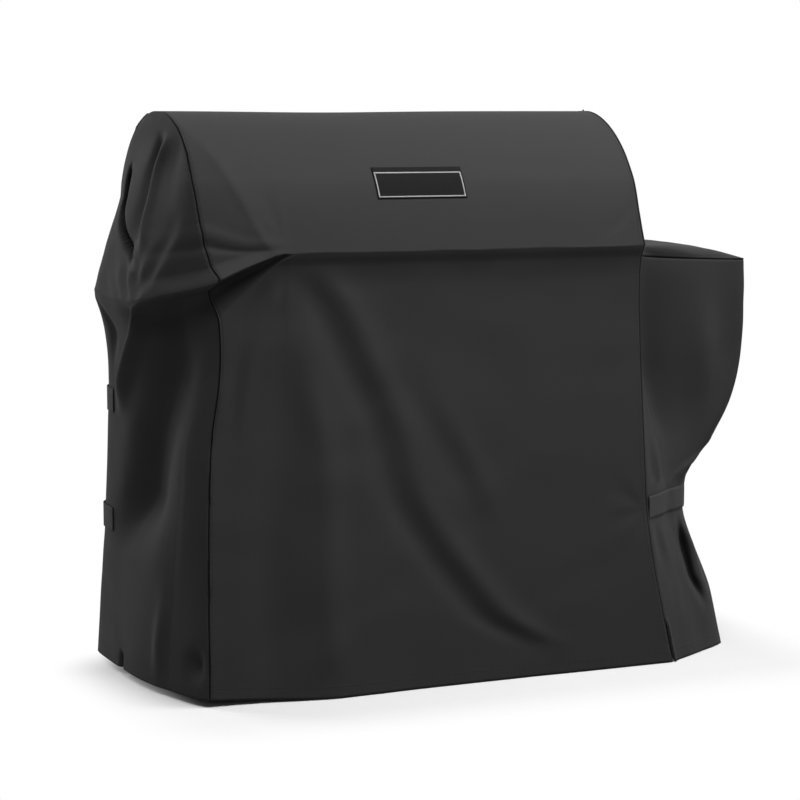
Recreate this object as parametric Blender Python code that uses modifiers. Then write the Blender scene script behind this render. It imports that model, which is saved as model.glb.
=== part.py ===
"""A fitted cover for an outdoor grill: five sewn cloth panels, seam tapes, hem bands and closing straps.

Units are metres, +Z is up and the front faces -Y. The cover stands on its hem at z = 0, open below.
"""
import math

import bmesh
import bpy
from mathutils import Matrix, Vector

# Overall size of the cover as it hangs.
WIDTH = 1.408
DEPTH = 0.625
HEIGHT = 1.180

# How far the cloth reaches past the hood: over the side shelf on the left, over the hopper on the right.
SHELF_REACH = 0.088
HOPPER_REACH = 0.342

# Heights of the front crease, and how far the crease line drops at the shelf and at the hopper.
CREASE_HEIGHT = HEIGHT - 0.280
SHELF_DROP = 0.100
HEM_LIFT = 0.014
SEAM_DROP = 0.048
HOPPER_DROP = 0.047

# The hood's arch, front and rear of the ridge: how far out it springs, where its flat top starts, and how
# tall and how round its shoulders are.
RIDGE_FORWARD = 0.055
FRONT_SPRING = 0.496 * DEPTH
FRONT_SHOULDER = 0.250
REAR_SPRING = 0.291 * DEPTH
REAR_SHOULDER = 0.170
FLAT_TOP = 0.015
SHOULDER_POWER = 1.8

# The hopper pocket, seen from above: half its depth, and how far the waist below it is drawn in.
HOPPER_HALF_DEPTH = 0.304 * DEPTH
WAIST_INSET = 0.1275

# Cloth, tapes, hems and webbing.
CLOTH = 0.0014
TAPE_RADIUS = 0.0016
SEAM_GAP = 0.0021
AIR = 0.0004
HEM_WIDTH = 0.028
HEM_RISE = 0.002
WEBBING = 0.0018
WEBBING_WIDTH = 0.050
PAD = 0.0012

# Heights of the middle of each strap.
RIGHT_STRAP_HEIGHT = 0.337
LEFT_UPPER_STRAP_HEIGHT = 0.574
LEFT_LOWER_STRAP_HEIGHT = 0.318

# The plain label patch on the hood.
LABEL_WIDTH = 0.200
LABEL_HEIGHT = 0.062
LABEL_X = -0.1365
LABEL_MIDDLE = HEIGHT - 0.145
LABEL_CLOTH = 0.0010

HOOD_LEFT = -WIDTH / 2 + SHELF_REACH
HOOD_RIGHT = WIDTH / 2 - HOPPER_REACH
HOOD_WIDTH = HOOD_RIGHT - HOOD_LEFT
FRONT_OUT = 0.52 * DEPTH
REAR_OUT = 0.48 * DEPTH
CREASE_START = HOOD_LEFT + 0.167
FRONT, REAR = -1, 1

# The waist of the hopper skirt is as tall as the strap that draws it in.
WAIST_LOW = (RIGHT_STRAP_HEIGHT - WEBBING_WIDTH / 2 - 0.006) / CREASE_HEIGHT
WAIST_HIGH = (RIGHT_STRAP_HEIGHT + WEBBING_WIDTH / 2 + 0.003) / (CREASE_HEIGHT - HOPPER_DROP)

# Levels of the rows of the skirt, from hem to crease, and of the hood, from crease to ridge.
HEM_LEVEL = (HEM_RISE + HEM_WIDTH + 0.003) / (CREASE_HEIGHT - SHELF_DROP)
BELOW_WAIST = [0, HEM_LEVEL] + [share * WAIST_LOW for share in (0.30, 0.53, 0.77)]
UPPER_SHARES = (0.13, 0.27, 0.41, 0.55, 0.69, 0.81, 0.895, 0.955)
ABOVE_WAIST = [WAIST_HIGH + share * (1 - WAIST_HIGH) for share in UPPER_SHARES]
SKIRT_LEVELS = (*BELOW_WAIST, WAIST_LOW, WAIST_HIGH, *ABOVE_WAIST, 1.0)
HOOD_LEVELS = (0.06, 0.12, 0.20, 0.29, 0.38, 0.48, 0.58, 0.68, 0.78, 0.86, 0.93, 1.0)
ROWS = [(t, 0.0) for t in SKIRT_LEVELS] + [(1.0, u) for u in HOOD_LEVELS]


def mix(a, b, share):
    return a + (b - a) * share


def smooth(at, knots):
    """A smooth curve through (station, value) knots, held level outside them."""
    if at <= knots[0][0]:
        return knots[0][1]
    if at >= knots[-1][0]:
        return knots[-1][1]
    slopes = []
    for i in range(len(knots)):
        before = knots[max(i - 1, 0)]
        after = knots[min(i + 1, len(knots) - 1)]
        slopes.append((after[1] - before[1]) / (after[0] - before[0]))
    for i in range(len(knots) - 1):
        (x0, y0), (x1, y1) = knots[i], knots[i + 1]
        if at <= x1:
            span = x1 - x0
            s = (at - x0) / span
            rise = y0 * (1 + 2 * s) * (1 - s) ** 2 + y1 * s * s * (3 - 2 * s)
            return rise + span * s * (1 - s) * (slopes[i] * (1 - s) - slopes[i + 1] * s)


def bump(at, middle, width):
    return math.exp(-(((at - middle) / width) ** 2))


def hood_profile(side, u):
    """Distance out from the middle, and height, at a level of the hood: lip, shoulder, flat top."""
    if side == FRONT:
        lip, spring, ridge = FRONT_OUT - 0.003, FRONT_SPRING, RIDGE_FORWARD
        shoulder, turn = FRONT_SHOULDER, 0.10
    else:
        lip, spring, ridge = REAR_OUT - 0.015, REAR_SPRING, -RIDGE_FORWARD
        shoulder, turn = REAR_SHOULDER, 0.30
    flat = ridge + FLAT_TOP
    base = HEIGHT - shoulder
    if u < turn:
        return mix(lip, spring, (u / turn) ** 0.9), mix(CREASE_HEIGHT, base, u / turn)
    if u < 0.86:
        angle = math.radians(90 * (u - turn) / (0.86 - turn))
        out = (spring - flat) * math.cos(angle) ** (2 / SHOULDER_POWER)
        return flat + out, base + shoulder * math.sin(angle) ** (2 / SHOULDER_POWER)
    return mix(flat, ridge, (u - 0.86) / 0.14), HEIGHT


def wall_recess(t):
    """How far the hanging front lies behind the crease, from hem to crease."""
    knots = ((0, 0.0), (0.25, 0.008), (0.5, 0.016), (0.75, 0.023), (0.92, 0.023), (0.97, 0.014), (1, 0.003))
    return smooth(t, knots)


def left_seam_x(t, u):
    lower = ((0, 0.020), (0.38, 0.025), (0.6, 0.032), (0.78, 0.048), (0.9, 0.041), (1, 0.0285))
    upper = ((0, 0.0285), (0.1, 0.0175), (0.2, 0.007), (0.35, 0.0))
    return HOOD_LEFT + (smooth(u, upper) if u else smooth(t, lower))


def right_seam_x(t, u):
    lower = ((0, 0.085), (0.13, 0.060), (0.27, 0.035), (0.38, 0.025), (0.6, 0.015), (0.9, 0.006), (1, 0.005))
    upper = ((0, 0.005), (0.2, 0.0))
    return HOOD_RIGHT + (smooth(u, upper) if u else smooth(t, lower))


def crease_drop(x):
    """The crease line sinks from the hood's corner towards the side shelf."""
    share = max(0.0, (CREASE_START - x) / (CREASE_START - HOOD_LEFT - 0.0285))
    return SEAM_DROP * min(share, 1.2) ** 1.25


def hem_lift(x):
    """The hem rides up a little towards the left end."""
    return HEM_LIFT * max(0.0, 1 - (x - HOOD_LEFT) / 0.30) ** 1.5


def front_folds(x, t, u):
    """Outward swell of the front: the lip over the shelf corner, the slack below it and long soft folds."""
    near_shelf = max(0.0, min(1.0, (CREASE_START + 0.02 - x) / 0.16))
    swell = near_shelf * (0.014 * bump(u, 0, 0.10) * (t > 0.99) - 0.012 * bump(t, 0.93, 0.05) * (u == 0))
    if u == 0:
        hang = math.sin(math.pi * min(1.0, t / 0.95))
        valley = mix(HOOD_LEFT + 0.52, HOOD_LEFT + 0.30, t)
        swell -= 0.010 * hang * bump(x, valley, 0.045)
        swell += 0.007 * hang * bump(x, valley + 0.12, 0.07)
        swell -= 0.009 * hang * bump(x, HOOD_LEFT + 0.19, 0.050)
        swell += 0.008 * bump(x, HOOD_LEFT + 0.30, 0.16) * (1 - t) ** 2
        swell -= 0.006 * hang * bump(x, HOOD_RIGHT - 0.04, 0.05) * bump(t, 0.4, 0.2)
    else:
        tension = bump(x, HOOD_LEFT + 0.085, 0.028) * bump(u, 0.22, 0.16)
        swell -= 0.008 * tension
    return swell


def rear_folds(x, t, u):
    if u:
        return 0.0
    hang = math.sin(math.pi * min(1.0, t / 0.95))
    return 0.007 * hang * math.sin(2 * math.pi * (x - HOOD_LEFT) / (0.33 * HOOD_WIDTH))


def wall_point(side, s, row):
    """A point of the front or rear panel: s runs from the left seam to the right seam."""
    t, u = row
    x = mix(left_seam_x(t, u), right_seam_x(t, u), s)
    if u == 0:
        out = (FRONT_OUT if side == FRONT else REAR_OUT - 0.012) - wall_recess(t)
        z = t * (CREASE_HEIGHT - crease_drop(x)) + hem_lift(x) * (1 - t) ** 3
    else:
        out, z = hood_profile(side, u)
        z -= crease_drop(x) * max(0.0, 1 - u / 0.45) ** 2
    folds = front_folds if side == FRONT else rear_folds
    fade = min(1.0, max(0.0, (0.94 - u) / 0.1))
    return Vector((x, side * (out + fade * folds(x, t, u)), z))


def corner_path(a, start, finish, plane_x, corner, power):
    """A level path from one seam round a corner, along an end plane and round the next corner."""
    if a > 0.5:
        turned = corner_path(1 - a, finish, start, plane_x, corner, power)
        return turned
    inward = 1 if finish.y > start.y else -1
    if a >= 0.3:
        y = mix(start.y + inward * corner, (start.y + finish.y) / 2, (a - 0.3) / 0.2)
        return plane_x, y
    angle = math.radians(90 * a / 0.3)
    x = start.x - (start.x - plane_x) * math.sin(angle) ** (2 / power)
    return x, start.y + inward * corner * (1 - math.cos(angle) ** (2 / power))


def left_point(a, row):
    """A point of the left end: a runs from the front seam to the rear seam."""
    t, u = row
    start = wall_point(FRONT, 0, row)
    finish = wall_point(REAR, 0, row)
    span = finish.y - start.y
    shift = SEAM_GAP + 1.5 * CLOTH
    start.x -= shift
    finish.x -= shift
    if u == 0:
        reach = smooth(t, ((0, 0.057), (0.4, 0.044), (0.78, 0.050), (0.93, 0.070), (1, SHELF_REACH)))
        corner = span * smooth(t, ((0, 0.11), (0.4, 0.125), (0.78, 0.19), (1, 0.25)))
        power = smooth(t, ((0, 2.2), (0.78, 1.6), (1, 1.15)))
    else:
        knots = ((0, SHELF_REACH), (0.12, 0.066), (0.3, 0.036), (0.48, 0.014), (0.7, 0.008), (1, shift))
        reach = smooth(u, knots)
        corner = span * smooth(u, ((0, 0.25), (0.48, 0.30), (1, 0.30)))
        power = smooth(u, ((0, 1.15), (0.5, 1.7), (1, 2.0)))
    x, y = corner_path(a, start, finish, HOOD_LEFT - reach, corner, power)
    dip = SHELF_DROP - SEAM_DROP
    knots = ((0, 0.0), (0.15, 0.52 * dip), (0.3, 0.88 * dip), (0.5, dip), (0.7, 0.88 * dip), (0.85, 0.52 * dip), (1, 0.0))
    drop = smooth(a, knots)
    z = mix(start.z, finish.z, a)
    if u == 0:
        z -= t * drop
        hang = math.sin(math.pi * min(1.0, t))
        x += 0.030 * hang * bump(a, 0.27, 0.075) * bump(t, 0.72, 0.24)
        x -= 0.010 * hang * bump(a, 0.46, 0.06) * bump(t, 0.75, 0.3)
        x += 0.012 * bump(a, 0.2, 0.05) * bump(t, 0.10, 0.10)
    else:
        z -= drop * max(0.0, 1 - u / 0.45) ** 2
        slack = bump(u, 0.30, 0.17) * (1 if 0 < a < 1 else 0)
        x += 0.030 * slack * bump(a, 0.60, 0.055)
        x += 0.014 * slack * bump(a, 0.22, 0.05)
        x -= 0.008 * slack * bump(a, 0.40, 0.07)
    return Vector((x, y, z))


def hopper_controls(t):
    """Corners of the hopper skirt in plan, from its front seam to the middle of the end."""
    start = wall_point(FRONT, 1, (t, 0.0))
    start.x += SEAM_GAP + 1.5 * CLOTH
    far = WIDTH / 2
    half = HOPPER_HALF_DEPTH
    waist = far - WAIST_INSET
    knots = [(0, far - 0.046), (0.44 * WAIST_LOW, far - 0.070), (WAIST_LOW, waist), (WAIST_HIGH, waist)]
    insets = ((0.096, WAIST_INSET - 0.020), (0.23, 0.060), (0.37, 0.026), (0.55, 0.006), (0.76, 0), (1, 0))
    for share, inset in insets:
        knots.append((mix(WAIST_HIGH, 1, share), far - inset))
    end = smooth(t, knots)
    fuller = mix(WAIST_HIGH, 1, 0.3)
    fullest = mix(WAIST_HIGH, 1, 0.65)
    slim = half - 0.008
    front = smooth(t, ((0, half + 0.020), (WAIST_LOW, slim), (WAIST_HIGH, slim), (fuller, half), (1, half)))
    dip = smooth(t, ((0, 0.0), (WAIST_LOW, 0.0), (WAIST_HIGH, 0.0), (fuller, 0.75), (fullest, 1.0), (1, 1.0)))
    corner_a = Vector((end - 0.026, -front, 0))
    corner_b = Vector((end - 0.006, -front + 0.045, 0))
    valley_a = mix(start, corner_a, 0.30)
    valley_b = mix(start, corner_a, 0.62)
    valley_a = mix(valley_a, Vector((start.x + 0.034, start.y + 0.070, 0)), dip)
    valley_b = mix(valley_b, Vector((start.x + 0.098, -front + 0.006, 0)), dip)
    return [start, valley_a, valley_b, corner_a, corner_b, Vector((end, 0, 0))]


def right_point(a, t):
    """A point of the hopper skirt: a runs from the front seam round the end to the rear seam."""
    half = hopper_controls(t)
    rear = [Vector((p.x, -p.y, 0)) for p in reversed(half[:-1])]
    seam = wall_point(REAR, 1, (t, 0.0))
    rear[-1] = Vector((seam.x + SEAM_GAP + 1.5 * CLOTH, seam.y, 0))
    path = half + rear
    place = a * (len(path) - 1)
    i = min(int(place), len(path) - 2)
    share = place - i
    before, p, q = path[max(i - 1, 0)], path[i], path[i + 1]
    after = path[min(i + 2, len(path) - 1)]
    knots_x = ((-1, before.x), (0, p.x), (1, q.x), (2, after.x))
    knots_y = ((-1, before.y), (0, p.y), (1, q.y), (2, after.y))
    edge = ((0, 0.0), (0.1, 0.016), (0.2, 0.034), (0.3, HOPPER_DROP - 0.004), (0.5, HOPPER_DROP - 0.008),
            (0.7, HOPPER_DROP - 0.004), (0.8, 0.034), (0.9, 0.016), (1, 0.0))
    z = t * (CREASE_HEIGHT - smooth(a, edge))
    x = smooth(share, knots_x)
    crumple = bump(t, 0.56, 0.10) * math.sin(math.pi * a)
    x -= 0.006 * crumple * math.sin(9 * math.pi * a) ** 2
    x -= 0.010 * bump(a, 0.31, 0.05) * bump(t, 0.22, 0.09)
    return Vector((x, smooth(share, knots_y), z))


def hopper_top_point(i, edge, c):
    """A point of the hopper's top: c runs from its outer edge to the foot of the hood's end."""
    a = i / (len(edge) - 1)
    front, rear = wall_point(FRONT, 1, (1.0, 0.0)), wall_point(REAR, 1, (1.0, 0.0))
    foot = Vector((front.x + SEAM_GAP + CLOTH, mix(front.y, rear.y, a), CREASE_HEIGHT))
    if a in (0, 1):
        return foot + Vector((0, 0.012 if a == 0 else -0.012, 0))
    place = mix(edge[i], foot, c)
    place.z += 0.020 * math.sin(math.pi * c) * math.sin(math.pi * a) - 0.010 * math.sin(math.pi * c * c)
    return place


def hood_end_point(a, u):
    """A point of the hood's right end, above the hopper."""
    front, rear = wall_point(FRONT, 1, (1.0, u)), wall_point(REAR, 1, (1.0, u))
    swell = 0.010 * math.sin(math.pi * a) * math.sin(math.pi * u)
    x = mix(front.x, rear.x, a) + SEAM_GAP + CLOTH + swell
    return Vector((x, mix(front.y, rear.y, a), mix(front.z, rear.z, a)))


def material(name, colour, roughness, metallic=0.0):
    made = bpy.data.materials.new(name)
    made.use_nodes = True
    shader = made.node_tree.nodes["Principled BSDF"]
    shader.inputs["Base Color"].default_value = (*colour, 1)
    shader.inputs["Roughness"].default_value = roughness
    shader.inputs["Metallic"].default_value = metallic
    made.diffuse_color = (*colour, 1)
    return made


def place(name, data, slot):
    made = bpy.data.objects.new(name, data)
    data.materials.append(slot)
    cover.objects.link(made)
    return made


def sheet(name, rows, slot, thickness, flip=False):
    """Cloth from rows of points on its outer face, thickened inwards."""
    mesh = bmesh.new()
    points = [[mesh.verts.new(p) for p in row] for row in rows]
    for low, high in zip(points, points[1:]):
        for i in range(len(low) - 1):
            mesh.faces.new((low[i], low[i + 1], high[i + 1], high[i]))
    bmesh.ops.remove_doubles(mesh, verts=mesh.verts, dist=0.00002)
    bmesh.ops.dissolve_degenerate(mesh, edges=mesh.edges, dist=0.00002)
    if flip:
        bmesh.ops.reverse_faces(mesh, faces=mesh.faces)
    data = bpy.data.meshes.new(name)
    mesh.to_mesh(data)
    mesh.free()
    made = place(name, data, slot)
    shell = made.modifiers.new("thickness", "SOLIDIFY")
    shell.thickness = thickness
    shell.offset = -1
    return made


def tape(name, points, slot):
    """A rolled seam tape along a seam line."""
    line = bpy.data.curves.new(name, "CURVE")
    line.dimensions = "3D"
    line.bevel_depth = TAPE_RADIUS
    line.bevel_resolution = 1
    line.use_fill_caps = True
    spline = line.splines.new("POLY")
    spline.points.add(len(points) - 1)
    for knot, p in zip(spline.points, points):
        knot.co = (*p, 1)
    return place(name, line, slot)


def outward(path):
    """Level unit vectors pointing away from the inside of the cover, one for each point of a path."""
    found = []
    for i in range(len(path)):
        along = path[min(i + 1, len(path) - 1)] - path[max(i - 1, 0)]
        level = Vector((along.y, -along.x, 0)).normalized()
        found.append(level if level.dot(Vector((path[i].x * 0.3, path[i].y, 0))) > 0 else -level)
    return found


def hem_band(name, low, high, slot, flip=False):
    """The turned-up hem: a second layer inside the bottom edge."""
    rows = []
    for height in (HEM_RISE, HEM_RISE + HEM_WIDTH):
        edge = [mix(p, q, height / (q.z - p.z)) for p, q in zip(low, high)]
        rows.append(set_off(edge, -CLOTH - 1.7 * AIR)[1:-1])
    return sheet(name, rows, slot, CLOTH, flip)


def strip(name, path, middle, width, thickness, slot):
    """Flat webbing standing on edge along a level path of points on its inner face."""
    rows = []
    for height in (middle - width / 2, middle + width / 2):
        row = [p + n * thickness for p, n in zip(path, outward(path))]
        rows.append([Vector((p.x, p.y, height)) for p in row])
    flip = (path[1] - path[0]).cross(outward(path)[0]).z > 0
    return sheet(name, rows, slot, thickness, flip)


def travelled(path):
    """Distance from the beginning of a path to each of its points."""
    found = [0.0]
    for p, q in zip(path, path[1:]):
        found.append(found[-1] + (q - p).length)
    return found


def along(path, start, finish):
    """The stretch of a path between two distances from its beginning, with the path's own points."""
    gone = travelled(path)
    found = []
    for want in (start, finish):
        i = max(j for j in range(len(path) - 1) if gone[j] <= want or j == 0)
        found.append(mix(path[i], path[i + 1], (want - gone[i]) / (gone[i + 1] - gone[i])))
    inner = [p for p, d in zip(path, gone) if start + 0.002 < d < finish - 0.002]
    return [found[0]] + inner + [found[1]]


def length(path):
    return travelled(path)[-1]


def set_off(path, distance):
    return [p + n * distance for p, n in zip(path, outward(path))]


def hang_on(pieces, pivot):
    """Puts the origin of pieces that swing on the line they swing about."""
    for piece in pieces:
        piece.data.transform(Matrix.Translation(-pivot))
        piece.location = pivot


def hood_level(height):
    """The level of the hood's shoulder that stands at a height."""
    low, high = 0.10, 0.86
    for _ in range(40):
        middle = (low + high) / 2
        low, high = (middle, high) if hood_profile(FRONT, middle)[1] < height else (low, middle)
    return low


def at_height(column, height):
    """The point of an upright line of points at a height."""
    for p, q in zip(column, column[1:]):
        if p.z <= height <= q.z:
            return mix(p, q, (height - p.z) / (q.z - p.z))
    return column[-1].copy()


def round_corner(columns, height):
    """A level path round the rear left corner, outside upright lines of cloth over the width of a strap."""
    path = []
    for column in columns:
        heights = [height + WEBBING_WIDTH * k for k in (-0.5, -0.25, 0, 0.25, 0.5)]
        places = [at_height(column, h) for h in heights]
        path.append(Vector((min(p.x for p in places), max(p.y for p in places), 0)))
    return path


def rise(share):
    share = min(1.0, max(0.0, (share - 0.15) / 0.3))
    return share * share * (3 - 2 * share)


for old in list(bpy.data.objects):
    bpy.data.objects.remove(old)
cover = bpy.data.collections.new("grill_cover")
bpy.context.scene.collection.children.link(cover)

hood_cloth = material("cover_cloth", (0.040, 0.040, 0.042), 0.62)
tape_cloth = material("seam_tape", (0.020, 0.020, 0.021), 0.70)
hem_cloth = material("hem_cloth", (0.034, 0.034, 0.036), 0.65)
webbing = material("webbing", (0.055, 0.055, 0.058), 0.75)
hook_nylon = material("hook_and_loop", (0.018, 0.018, 0.019), 0.85)
ring_metal = material("ring_metal", (0.10, 0.10, 0.105), 0.40, 1.0)
label_cloth = material("label_cloth", (0.030, 0.030, 0.032), 0.55)

# The front and rear panels run from hem to ridge and stop short of the seam tapes all round.
for name, side, columns in (("front_panel", FRONT, 20), ("rear_panel", REAR, 14)):
    rows = []
    for row in ROWS:
        line = [wall_point(side, i / columns, row) for i in range(columns + 1)]
        line[0].x += SEAM_GAP
        line[-1].x -= SEAM_GAP
        if row == ROWS[-1]:
            line = [Vector((p.x, side * SEAM_GAP - RIDGE_FORWARD, p.z)) for p in line]
        rows.append(line)
    sheet(name, rows, hood_cloth, CLOTH, flip=side == REAR)
    bottom = [wall_point(side, i / columns, ROWS[0]) for i in range(columns + 1)]
    above = [wall_point(side, i / columns, ROWS[1]) for i in range(columns + 1)]
    hem_band(name.replace("panel", "hem_band"), bottom, above, hem_cloth, flip=side == REAR)

# The left end is one panel, from the hem over the shelf to the arch of the hood.
LEFT_COLUMNS = 16
left_rows = [[left_point(i / LEFT_COLUMNS, row) for i in range(LEFT_COLUMNS + 1)] for row in ROWS]
sheet("left_end_panel", left_rows, hood_cloth, CLOTH, flip=True)
hem_band("left_hem_band", left_rows[0], left_rows[1], hem_cloth, flip=True)

# The right end is a skirt round the hopper and, above its edge seam, a top panel up to the hood's arch.
RIGHT_COLUMNS = 20
right_rows = [[right_point(i / RIGHT_COLUMNS, t) for i in range(RIGHT_COLUMNS + 1)] for t in SKIRT_LEVELS]
skirt_rows = [list(row) for row in right_rows]
skirt_rows[-1] = [p - Vector((0, 0, SEAM_GAP)) for p in skirt_rows[-1]]
sheet("hopper_skirt_panel", skirt_rows, hood_cloth, CLOTH)
hem_band("right_hem_band", right_rows[0], right_rows[1], hem_cloth)
inner_edge = set_off(right_rows[-1], -SEAM_GAP)
right_columns = range(RIGHT_COLUMNS + 1)
top_rows = [[hopper_top_point(i, inner_edge, c) for i in right_columns] for c in (0, 0.2, 0.5, 0.8, 1)]
top_rows += [[hood_end_point(i / RIGHT_COLUMNS, u) for i in right_columns] for u in HOOD_LEVELS]
sheet("hopper_top_panel", top_rows, hood_cloth, CLOTH)

# Seam tapes lie on the seam lines between the panels.
for name, s in (("left_seam_tape", 0), ("right_seam_tape", 1)):
    front = [wall_point(FRONT, s, row) for row in ROWS]
    rear = [wall_point(REAR, s, row) for row in ROWS]
    front[0].z += HEM_RISE
    rear[0].z += HEM_RISE
    tape(name, front + rear[-2::-1], tape_cloth)
ridge = [wall_point(FRONT, s / 20, ROWS[-1]) for s in range(21)]
tape("ridge_seam_tape", along(ridge, 0.004, length(ridge) - 0.004), tape_cloth)
hopper_edge = right_rows[-1]
first = mix(hopper_edge[0], hopper_edge[1], 0.4)
last = mix(hopper_edge[-1], hopper_edge[-2], 0.4)
tape("hopper_seam_tape", [first] + hopper_edge[1:-1] + [last], tape_cloth)

# The right strap runs round the waist of the skirt: a front length, a ring, a rear length, and a tab
# that passes through the ring and folds back on hook-and-loop pads.
waist_rows = (SKIRT_LEVELS.index(WAIST_LOW), SKIRT_LEVELS.index(WAIST_HIGH))
waist = [max((right_rows[r][i] for r in waist_rows), key=lambda p: p.x) for i in range(RIGHT_COLUMNS + 1)]
waist = set_off([Vector((p.x, p.y, 0)) for p in waist], AIR)
ring_at = (length(waist[:8]) + length(waist[:9])) / 2
RING_HALF = 0.0075
RING_WIRE = 0.0015
TAB_LENGTH = 0.085
past_ring = RING_HALF + RING_WIRE + AIR
strip("right_front_strap", along(waist, 0.006, ring_at - past_ring), RIGHT_STRAP_HEIGHT, WEBBING_WIDTH,
      WEBBING, webbing)
strip("right_rear_strap", along(waist, ring_at + past_ring, length(waist) - 0.006), RIGHT_STRAP_HEIGHT,
      WEBBING_WIDTH, WEBBING, webbing)
layers = along(waist, ring_at + past_ring, ring_at + past_ring + TAB_LENGTH)
pad_path = along(layers, 0.030, TAB_LENGTH - 0.008)
PAD_WIDTH = WEBBING_WIDTH - 0.010
strip("right_loop_pad", set_off(pad_path, WEBBING + AIR), RIGHT_STRAP_HEIGHT, PAD_WIDTH, PAD, hook_nylon)
hook_path = set_off(pad_path, WEBBING + PAD + 2 * AIR)
tab_hooks = strip("right_hook_pad", hook_path, RIGHT_STRAP_HEIGHT, PAD_WIDTH, PAD, hook_nylon)
tab_path = set_off(layers, WEBBING + 2 * PAD + 3 * AIR)
tab = strip("right_strap_tab", tab_path, RIGHT_STRAP_HEIGHT, WEBBING_WIDTH, WEBBING, webbing)
hang_on((tab, tab_hooks), tab_path[0] + Vector((0, 0, RIGHT_STRAP_HEIGHT)))

near_ring = along(waist, ring_at - RING_HALF, ring_at + RING_HALF)
bar_front, bar_rear = near_ring[0], near_ring[-1]
lift = outward([bar_front, bar_rear])[0] * (RING_WIRE + AIR)
ring_line = bpy.data.curves.new("strap_ring", "CURVE")
ring_line.dimensions = "3D"
ring_line.bevel_depth = RING_WIRE
ring_line.bevel_resolution = 2
ring_spline = ring_line.splines.new("POLY")
ring_spline.points.add(7)
ring_spline.use_cyclic_u = True
top = RIGHT_STRAP_HEIGHT + WEBBING_WIDTH / 2 + 0.004
base = RIGHT_STRAP_HEIGHT - WEBBING_WIDTH / 2 - 0.004
corners = []
for share, height in ((0, base + 0.003), (0, top - 0.003), (0.2, top), (0.8, top), (1, top - 0.003),
                      (1, base + 0.003), (0.8, base), (0.2, base)):
    across = mix(bar_front, bar_rear, share) + lift
    corners.append((across.x, across.y, height, 1))
for knot, corner in zip(ring_spline.points, corners):
    knot.co = corner
place("strap_ring", ring_line, ring_metal)

# Two straps on the left end pass round its rear corner and close on the rear panel.
rear_rows = [[wall_point(REAR, i / 14, row) for i in range(3)] for row in ROWS]
STRAP_LENGTH = 0.280
for name, height in (("left_upper", LEFT_UPPER_STRAP_HEIGHT), ("left_lower", LEFT_LOWER_STRAP_HEIGHT)):
    columns = [[row[i] for row in left_rows] for i in range(10, LEFT_COLUMNS + 1)]
    columns += [[row[i] for row in rear_rows] for i in (1, 2)]
    corner = round_corner(columns, height)
    path = along(corner, 0.012, 0.012 + STRAP_LENGTH)
    lifts = [AIR + (2 * PAD + 2 * AIR) * rise(d / STRAP_LENGTH) for d in travelled(path)]
    lifted = [p + n * lift for p, n, lift in zip(path, outward(path), lifts)]
    strap = strip(name + "_strap", lifted, height, WEBBING_WIDTH, WEBBING, webbing)
    pads = along(path, STRAP_LENGTH - 0.055, STRAP_LENGTH - 0.006)
    strip(name + "_loop_pad", set_off(pads, AIR), height, PAD_WIDTH, PAD, hook_nylon)
    hooks = strip(name + "_hook_pad", set_off(pads, 2 * AIR + PAD), height, PAD_WIDTH, PAD, hook_nylon)
    hang_on((strap, hooks), lifted[0] + Vector((0, 0, height)))

# The plain label patch lies on the hood's shoulder.
label_rows = []
low, high = hood_level(LABEL_MIDDLE - LABEL_HEIGHT / 2), hood_level(LABEL_MIDDLE + LABEL_HEIGHT / 2)
for j in range(6):
    level = mix(low, high, j / 5)
    step = Vector((0, *hood_profile(FRONT, level + 0.01))) - Vector((0, *hood_profile(FRONT, level - 0.01)))
    normal = Vector((0, -step.z, -step.y)).normalized()
    out, z = hood_profile(FRONT, level)
    lift = normal * (AIR + LABEL_CLOTH)
    ends = [LABEL_X - LABEL_WIDTH / 2, LABEL_X, LABEL_X + LABEL_WIDTH / 2]
    label_rows.append([Vector((x, -out, z)) + lift for x in ends])
sheet("label_patch", label_rows, label_cloth, LABEL_CLOTH)

# The cover stands on the middle of its own outline.
bpy.context.view_layer.update()
spots = [piece.matrix_world @ Vector(corner) for piece in cover.objects for corner in piece.bound_box]
middle = Vector(((min(p.x for p in spots) + max(p.x for p in spots)) / 2,
                 (min(p.y for p in spots) + max(p.y for p in spots)) / 2, min(p.z for p in spots)))
for piece in cover.objects:
    piece.location -= middle
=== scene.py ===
# %% [markdown]
# # A fitted grill cover
#
# The cover hangs over a grill: a rounded hood, a pocket over the side shelf on the left, and a pocket over the
# hopper on the right that is drawn in by a strap. Each panel is a sheet of coated polyester. The sheets are made
# here from the same seam lines as the solid model, then given the folds that the photograph shows.

import math

import bpy
import numpy as np
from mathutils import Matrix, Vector


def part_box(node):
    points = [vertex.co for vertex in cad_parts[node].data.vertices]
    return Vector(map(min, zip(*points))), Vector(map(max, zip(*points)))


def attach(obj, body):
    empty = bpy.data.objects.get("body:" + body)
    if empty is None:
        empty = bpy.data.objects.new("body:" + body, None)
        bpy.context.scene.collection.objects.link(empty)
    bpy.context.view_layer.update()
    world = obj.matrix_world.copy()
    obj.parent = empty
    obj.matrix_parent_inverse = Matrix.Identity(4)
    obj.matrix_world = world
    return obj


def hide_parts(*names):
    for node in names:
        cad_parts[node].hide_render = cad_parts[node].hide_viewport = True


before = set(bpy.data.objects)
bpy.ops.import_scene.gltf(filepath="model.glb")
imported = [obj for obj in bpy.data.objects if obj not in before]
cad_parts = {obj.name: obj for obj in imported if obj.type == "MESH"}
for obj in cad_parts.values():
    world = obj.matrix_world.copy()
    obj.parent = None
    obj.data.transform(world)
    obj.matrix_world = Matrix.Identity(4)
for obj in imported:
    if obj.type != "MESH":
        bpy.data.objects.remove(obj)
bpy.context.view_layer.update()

# %% [markdown]
# ## Sizes
#
# These are the cover's sizes in metres, the same as the solid model's. The plan is drawn about the middle of the
# hood's skirt, and `SHIFT` moves it to the middle of the whole outline, where the solid model stands.

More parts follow.
